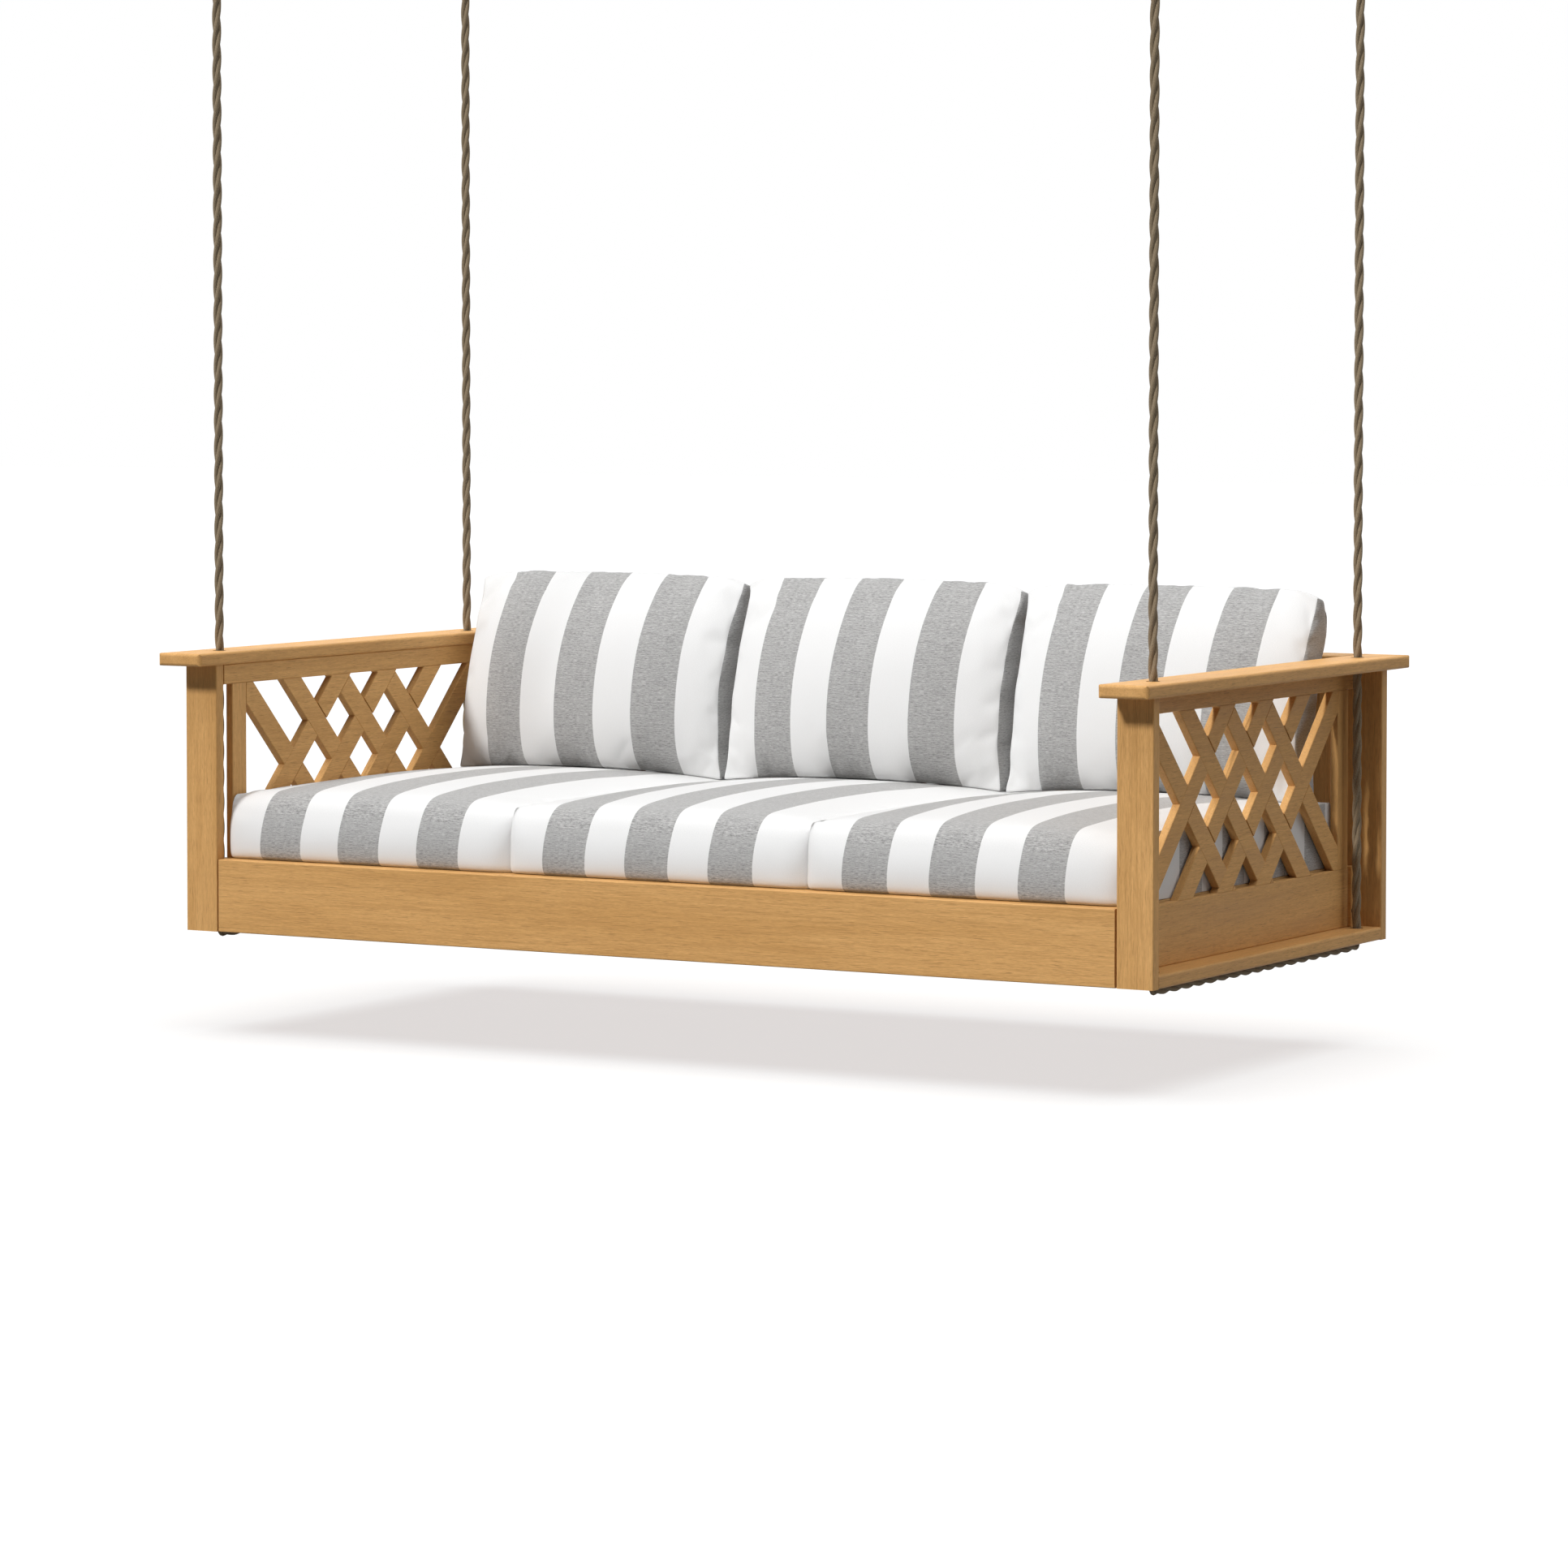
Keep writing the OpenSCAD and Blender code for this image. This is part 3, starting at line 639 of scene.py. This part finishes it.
def stations(length, near, step):
    """Places from -1 to 1 along a length, at the given distances from each end and then evenly."""
    inner = length / 2 - near[-1]
    middle = np.linspace(-inner, inner, max(2, round(2 * inner / step)) + 1)
    ends = np.array([length / 2 - n for n in near[:-1]])
    return np.concatenate([-ends, middle, ends[::-1]]) / (length / 2)


def grid_places(lines):
    """A block whose points lie at the given places from -1 to 1 along the three directions."""
    triples, faces, sides = box_grid([len(line) - 1 for line in lines])
    return [lines[k][triples[:, k]] for k in range(3)], faces, sides


def fullness(u):
    return 1 - np.abs(u) ** FULLNESS_POWER


def waves(points, sizes, seed):
    """Smooth noise from -1 to 1 at points in millimetres, whose waves have the given sizes."""
    places = points / np.array(sizes) + np.array((1.7, 2.3, 4.1)) * seed
    return np.array([noise.noise(place) for place in places.tolist()])


def ripple(points, axis, amount, sizes, seed, lean=0.0):
    """Moves points along one axis by waves of the given sizes, that lean to one side."""
    points[:, axis] += amount * (waves(points, sizes, seed) + lean)


def near_seam(distance, reach):
    return np.exp(-(distance / reach) ** 2)


def swollen(start, faces, seam, hold, shrink, cap):
    """Blows the cover up under its filling's pressure. Seam points draw together by the share
    shrink, the filling holds every point with the weight hold, and none moves further than cap."""
    scene = bpy.context.scene
    mesh = bpy.data.meshes.new("swelling")
    mesh.from_pydata((start / 1000).tolist(), [], faces)
    obj = linked("swelling", mesh)
    obj.vertex_groups.new(name="filling").add(list(range(len(start))), hold, "REPLACE")
    obj.vertex_groups.new(name="seam").add(np.flatnonzero(seam).tolist(), 1.0, "REPLACE")
    cloth = obj.modifiers.new("cloth", "CLOTH")
    cloth.point_cache.frame_end = SWELL_FRAMES
    settings = cloth.settings
    settings.quality = 5
    settings.tension_stiffness = settings.compression_stiffness = 15
    settings.bending_stiffness = 0.3
    settings.use_pressure = True
    settings.uniform_pressure_force = 4
    settings.effector_weights.gravity = 0
    settings.vertex_group_mass = "filling"
    settings.pin_stiffness = 1
    settings.vertex_group_shrink = "seam"
    settings.shrink_max = shrink
    for number in range(1, SWELL_FRAMES + 1):
        scene.frame_set(number)
    found = np.empty(len(start) * 3, np.float32)
    swelled = obj.evaluated_get(bpy.context.evaluated_depsgraph_get())
    swelled.data.vertices.foreach_get("co", found)
    bpy.data.objects.remove(obj)
    scene.frame_set(1)
    move = found.reshape(-1, 3) * 1000.0 - start
    length = np.linalg.norm(move, axis=1, keepdims=True)
    return start + move * np.minimum(1, cap / np.maximum(length, 1e-6))


def cloth_object(name, points, faces, stripes, threads, seam, node):
    """A cushion's cover, creased along its seams."""
    obj = add_object(name, np.array([row(*p) for p in points]), faces,
                     [("stripes", stripes), ("threads", threads)])
    mesh = obj.data
    ends = np.empty(len(mesh.edges) * 2, np.int32)
    mesh.edges.foreach_get("vertices", ends)
    sewn = seam[ends.reshape(-1, 2)].all(axis=1)
    crease = mesh.attributes.new("crease_edge", "FLOAT", "EDGE")
    crease.data.foreach_set("value", np.where(sewn, SEAM_CREASE, 0.0).astype(np.float32))
    smooth = obj.modifiers.new("smooth", "SUBSURF")
    smooth.levels = smooth.render_levels = 1
    mesh.materials.append(FABRIC_LOOK)
    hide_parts(node)
    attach(obj, "bed")


# ---- Seat cushions ----

SEAT_WIDTH = 650.6
SEAT_DEPTH = 910.0
SEAT_PITCH = 651.2
SEAT_MIDDLE_Y = 485.0
SEAT_LOW_Z = 142.3
SEAT_EDGE = 125.0
SEAT_CROWN = 26.0
SEAT_SEED = 3
SEAT_EASE = 6.0  # how much wider than its room a cover is cut, each way
FRONT_BULGE = 6.0
CROWN_SHARE = 0.9  # the share of the crown that the cover has before the swelling

# How each edge along X is rolled, in the middle and at the end seams: how deep, how high and how square
FRONT_ROLL = ((55, 106, 1.75), (22, 26, 2.0))
REAR_ROLL = ((30, 60, 2.0), (22, 24, 2.0))
LOW_ROLL = (12, 16, 2.0)

# How the front turns into the end seams: over what length at each end, how far back before and after
# the swelling, what share of that at the left end, and how far behind the front it still shows
LEFT_TURN = 30.0
RIGHT_TURN = 60.0
SEAM_RECESS = 23.0
SEAM_DRAW = 13.0
LEFT_SHARE = 0.6
FRONT_DEPTH = 70.0

# Behind this line the back cushions rest on the seat, and its top keeps to the crown. Before it the top
# comes free over a run, and may stand a little above the crown.
REST_FROM_Y = 640
REST_RUN = 120
TOP_SLACK = 3

SEAT_STRIPE_END = 0.62  # the last white stripe goes on to the seam
SEAT_END_STRIPES = 0.026


def crown_at(u, v):
    return SEAT_CROWN * fullness(u) * fullness(v)


def seat_top(x, y):
    """Height of the seat cushions' tops at places of the bed."""
    v = np.minimum(1, np.abs(2 * (y - SEAT_MIDDLE_Y) / SEAT_DEPTH))
    u = np.min([np.abs(2 * (x - place * SEAT_PITCH) / SEAT_WIDTH) for place, _ in CUSHIONS], axis=0)
    return SEAT_LOW_Z + SEAT_EDGE + crown_at(np.minimum(1, u), v)


def turned(y, z, edge_y, edge_z, deep, high, power):
    """Draws one corner of a profile onto a quarter of a superellipse, deep along Y and high along Z."""
    a = np.clip(1 - np.abs(edge_y - y) / deep, 0, None)
    b = np.clip(1 - np.abs(edge_z - z) / high, 0, None)
    norm = (a ** power + b ** power) ** (1 / power)
    back = np.where(norm > 0, 1 - np.maximum(a, b) / np.maximum(norm, 1e-9), 0)
    into_y = 1 if edge_y < 0 else -1
    into_z = 1 if edge_z == 0 else -1
    return y + into_y * back * a * deep, z + into_z * back * b * high


def rolled(roll, at_seam):
    """A roll's depth, height and squareness, at_seam being 0 in the middle and 1 at the end seams."""
    return [middle + (end - middle) * at_seam for middle, end in zip(*roll)]


def seam_turn(u):
    """How far a seat cushion has turned into its end seams, from 0 to 1."""
    reach = np.where(u > 0, RIGHT_TURN, LEFT_TURN)
    from_seam = np.clip(SEAT_WIDTH / 2 * (1 - np.abs(u)) / reach, 0, 1)
    return 1 - np.sqrt(1 - (1 - from_seam) ** 2)


def end_share(u):
    return np.where(u > 0, 1, LEFT_SHARE)


def near_front(y, front):
    return np.clip(1 - (y - front) / FRONT_DEPTH, 0, 1)


def seat_start(u, v, w, seed):
    """Places in millimetres from the middle of the cushion's underside. Its front is blown up
    between its seams, and rolls over far back at the top."""
    half_x, half_y = SEAT_WIDTH / 2, SEAT_DEPTH / 2
    x, y, z = u * (half_x + SEAT_EASE), v * half_y, (w + 1) / 2 * SEAT_EDGE
    at_seam = seam_turn(u)
    front = -half_y - FRONT_BULGE
    y = np.where(y < 0, y * (half_y + FRONT_BULGE) / half_y, y)
    y, z = turned(y, z, front, SEAT_EDGE, *rolled(FRONT_ROLL, at_seam))
    y, z = turned(y, z, front, 0, *LOW_ROLL)
    y, z = turned(y, z, half_y, SEAT_EDGE, *rolled(REAR_ROLL, at_seam))
    y, z = turned(y, z, half_y, 0, *LOW_ROLL)
    at_front = near_front(y, front)
    y = y + SEAM_RECESS * end_share(u) * at_seam * at_front
    z = z + (w + 1) / 2 * CROWN_SHARE * crown_at(u, v)
    p = np.stack([x, y, z], axis=1)
    beside = near_seam(half_x * (1 - np.abs(u)), 40)
    top = np.clip(z / SEAT_EDGE, 0, 1)
    ripple(p, 0, 1.3 * beside * np.sign(u), (200, 60, 55), seed, lean=-0.7)
    ripple(p, 2, 1.8 * beside * top, (90, 60, 300), seed + 5)
    ripple(p, 1, 1.8 * at_front, (80, 300, 60), seed + 9)
    ripple(p, 2, 1.5 * at_front * top, (110, 80, 300), seed + 13)
    return p


def seat_settled(start, faces, seam, u, w):
    """A seat cushion's points after the swelling, within its room and under the back cushions."""
    p = swollen(start, faces, seam, hold=0.22, shrink=0.015, cap=12)
    highest = SEAT_EDGE + crown_at(np.minimum(1, np.abs(2 * p[:, 0] / SEAT_WIDTH)),
                                   np.minimum(1, np.abs(2 * p[:, 1] / SEAT_DEPTH)))
    clear = np.clip((REST_FROM_Y - p[:, 1] - SEAT_MIDDLE_Y) / REST_RUN, 0, 1)
    p[:, 2] = np.where(w == 1, highest + (p[:, 2] - highest) * clear, p[:, 2])
    p[:, 2] = np.clip(p[:, 2], 0, highest + TOP_SLACK * clear)
    p[:, 1] += SEAM_DRAW * end_share(u) * seam_turn(u) * near_front(p[:, 1], -SEAT_DEPTH / 2)
    p[:, 0] = np.clip(p[:, 0], -SEAT_WIDTH / 2, SEAT_WIDTH / 2)
    return p


def seat_maps(start, faces, sides):
    """Stripes run from front to back and over the front, and up on the ends."""
    stripes, threads = [], []
    for face, (axis, far) in zip(faces, sides):
        for k in face:
            x, y, z = start[k] / 1000
            if axis == 0:
                stripes.append((y + SEAT_DEPTH / 2000 + SEAT_END_STRIPES, 0))
                threads.append((y, z))
            else:
                stripes.append((min(x + SEAT_WIDTH / 2000, SEAT_STRIPE_END), 0))
                drop = SEAT_EDGE / 1000 - z
                threads.append((x, y if axis == 2 else y + (drop if far else -drop)))
    return stripes, threads


def seat_cushions():
    (u, v, w), faces, sides = grid_places([
        stations(SEAT_WIDTH, [0, 3, 8, 15, 24], 13),
        stations(SEAT_DEPTH, [0, 6, 12, 19, 28], 14),
        stations(SEAT_EDGE, [0, 6, 12, 19], 12),
    ])
    seam = (np.abs(u) == 1) & ((np.abs(v) == 1) | (np.abs(w) == 1))
    for place, side in CUSHIONS:
        start = seat_start(u, v, w, SEAT_SEED + place)
        p = seat_settled(start, faces, seam, u, w)
        p = p + np.array((place * SEAT_PITCH, SEAT_MIDDLE_Y, SEAT_LOW_Z))
        cloth_object(f"{side}_seat_cover", p, faces, *seat_maps(start, faces, sides), seam,
                     f"{side}_seat_cushion")


# ---- Back cushions ----

BACK_WIDTH = 639.6
BACK_HEIGHT = 404.0
BACK_PITCH = 640.2
BACK_LOW_Z = 270.3
BACK_CAP_Y = 984.5
BACK_FOOT = 158
BACK_LEAN = 100
SEAM_BOW = 52
BOXING = 77.0
BACK_SEED = 23

FACE_STAND = 4  # how far the faces stand off their seams
FRONT_PUFF = 56
REAR_PUFF = 54
LOW_PUFF_POWER = 5
HIGH_PUFF_POWER = 3
TOP_SWELL = 10
CORNER_DROP = 9
CORNER_POWER = 12
TOP_BOXING_CUT = 0.7
REAR_DROP = 8
LEFT_DRAW = 22.0

CAP_TOP_Z = 600  # below it a cushion keeps before the cap and the back panel
CAP_GAP = 0.6
REST_GAP = 1.0

BACK_STRIPE_START = 0.083
BACK_STRIPE_PERIOD = 0.1865
WHITE_AT = 0.04  # places across the cloth where it is white and where it is grey
GREY_AT = 0.127


def seam_y(t):
    """Where the front seam lies at a share of the height: it leans back and bows forward."""
    return BACK_CAP_Y - BACK_FOOT + BACK_LEAN * t - SEAM_BOW * 4 * t * (1 - t)


def back_start(u, w, t, seed):
    """Places in millimetres in bed coordinates, with X from the cushion's middle."""
    w, t = (w + 1) / 2, (t + 1) / 2
    puff = 1 - np.abs(2 * t - 1) ** np.where(t < 0.5, LOW_PUFF_POWER, HIGH_PUFF_POWER)
    boxing = BOXING * (1 - TOP_BOXING_CUT * t ** CORNER_POWER)
    high = BACK_HEIGHT + TOP_SWELL * fullness(u) - CORNER_DROP * np.abs(u) ** CORNER_POWER
    front = seam_y(t) - FACE_STAND - FRONT_PUFF * puff * fullness(u)
    rear = seam_y(t) + FACE_STAND + boxing + REAR_PUFF * puff * fullness(u)
    y = front + (rear - front) * w
    z = BACK_LOW_Z + (high - REAR_DROP * w) * t
    between = 1 - np.abs(2 * t - 1) ** 4
    x = u * BACK_WIDTH / 2 + between * (LEFT_DRAW * (1 - u)) / 2
    p = np.stack([x, y, z], axis=1)
    beside = near_seam(BACK_WIDTH / 2 * (1 - np.abs(u)), 45)
    above = near_seam(BACK_HEIGHT * np.minimum(t, 1 - t), 40)
    ripple(p, 0, 3.2 * beside, (300, 300, 62), seed)
    ripple(p, 1, 5.0 * beside, (150, 400, 52), seed + 4)
    ripple(p, 1, 3.5 * above, (58, 400, 140), seed + 8)
    ripple(p, 2, 2.0 * above, (75, 300, 300), seed + 12)
    ripple(p, 1, 3.0 * fullness(u), (190, 400, 150), seed + 16)
    return p


def back_settled(start, faces, seam, place, t):
    """A back cushion's points after the swelling, at its place before the panel and on the seat."""
    p = swollen(start, faces, seam, hold=0.2, shrink=0.03, cap=22)
    p[:, 0] = np.clip(p[:, 0], -BACK_WIDTH / 2, BACK_WIDTH / 2)
    p[:, 1] = np.where(p[:, 2] < CAP_TOP_Z, np.minimum(p[:, 1], BACK_CAP_Y - CAP_GAP), p[:, 1])
    p[:, 0] += place * BACK_PITCH
    rest = seat_top(p[:, 0], p[:, 1]) + REST_GAP
    p[:, 2] = np.where(t == -1, rest, np.maximum(p[:, 2], rest))
    return p


def back_maps(start, u, faces, sides):
    """Stripes run up the faces. The boxing is grey on the right end and white on the left."""
    stripes, threads = [], []
    for face, (axis, far) in zip(faces, sides):
        for k in face:
            x, y, z = start[k] / 1000
            if axis == 0:
                stripes.append((GREY_AT if far else WHITE_AT, 0))
                threads.append((y, z))
            else:
                across = u[k] * BACK_WIDTH / 2000 + BACK_WIDTH / 2000
                periods = (across - BACK_STRIPE_START) / BACK_STRIPE_PERIOD
                stripes.append((periods * STRIPE_PERIOD + STRIPE_START, 0))
                threads.append((x, z if axis == 1 else z + y))
    return stripes, threads


def back_cushions():
    (u, w, t), faces, sides = grid_places([
        stations(BACK_WIDTH, [0, 7, 16], 12),
        stations(BOXING, [0, 7], 12),
        stations(BACK_HEIGHT, [0, 7, 16], 12),
    ])
    seam = (np.abs(w) == 1) & ((np.abs(u) == 1) | (np.abs(t) == 1))
    for place, side in CUSHIONS:
        start = back_start(u, w, t, BACK_SEED + 2 * place)
        p = back_settled(start, faces, seam, place, t)
        cloth_object(f"{side}_back_cover", p, faces, *back_maps(start, u, faces, sides), seam,
                     f"{side}_back_cushion")


seat_cushions()
back_cushions()


# ---- Floor and lights ----

FLOOR_Z = (-200 - HANG_HEIGHT) / 1000  # 200 mm under the bed
FLOOR_HALF = 40.0
WORLD_STRENGTH = 0.03


def make_floor():
    """White where the camera looks, down to the grey of the shadow, and grey to the other rays."""
    half = FLOOR_HALF
    floor = add_object("floor", [(-half, -half, FLOOR_Z), (half, -half, FLOOR_Z), (half, half, FLOOR_Z),
                                 (-half, half, FLOOR_Z)], [(0, 1, 2, 3)])
    s = Shader("floor")
    seen = s.seen()
    grey = s.mix(seen, colour(0.36, 0.36, 0.36), colour(0.50, 0.545, 0.555))
    matt = s.add("BsdfDiffuse", {"Color": grey}).outputs[0]
    white = s.add("Emission", {"Color": colour(0.718, 0.690, 0.683), "Strength": seen}).outputs[0]
    both = s.add("AddShader", {0: matt, 1: white}).outputs[0]
    s.put(s.tree.nodes["Material Output"].inputs["Surface"], both)
    floor.data.materials.append(s.material)
    return floor


def make_world():
    """White where the camera looks, and a dim light otherwise."""
    world = bpy.data.worlds.new("world")
    bpy.context.scene.world = world
    world.use_nodes = True
    world.node_tree.nodes.clear()
    s = Nodes(world.node_tree)
    dim = s.add("Background", {"Color": WHITE, "Strength": WORLD_STRENGTH}).outputs[0]
    white = s.add("Background", {"Color": WHITE, "Strength": 1.0}).outputs[0]
    either = s.add("MixShader", {0: s.seen(), 1: dim, 2: white}).outputs[0]
    s.add("OutputWorld", {"Surface": either})


def make_sun(name, toward, level, spread, unlit=None, glossy=True):
    """A sun that lights a white surface facing it to the given level, and leaves one object out."""
    data = bpy.data.lights.new(name, "SUN")
    data.energy = level * math.pi
    data.angle = math.radians(spread)
    sun = linked(name, data)
    sun.rotation_euler = Vector(toward).to_track_quat("Z", "Y").to_euler()
    sun.visible_glossy = glossy
    if unlit:
        left_out = bpy.data.collections.new(name + "_leaves_out")
        left_out.objects.link(unlit)
        left_out.collection_objects[0].light_linking.link_state = "EXCLUDE"
        sun.light_linking.receiver_collection = left_out


floor = make_floor()
make_world()
make_sun("overhead", (0, 0, 1), 0.68, 72)
make_sun("key", (-0.35, -1.0, 0.85), 0.82, 9, floor)
make_sun("front_fill", (-0.12, -1.0, -0.20), 0.15, 16, floor)
make_sun("right_fill", (1.0, 0.35, 0.65), 0.15, 36, floor)
make_sun("low_right", (1.0, 0.30, -0.22), 0.18, 24, floor)
make_sun("rear_fill", (-0.5, 1.0, 0.30), 0.28, 40, floor, glossy=False)
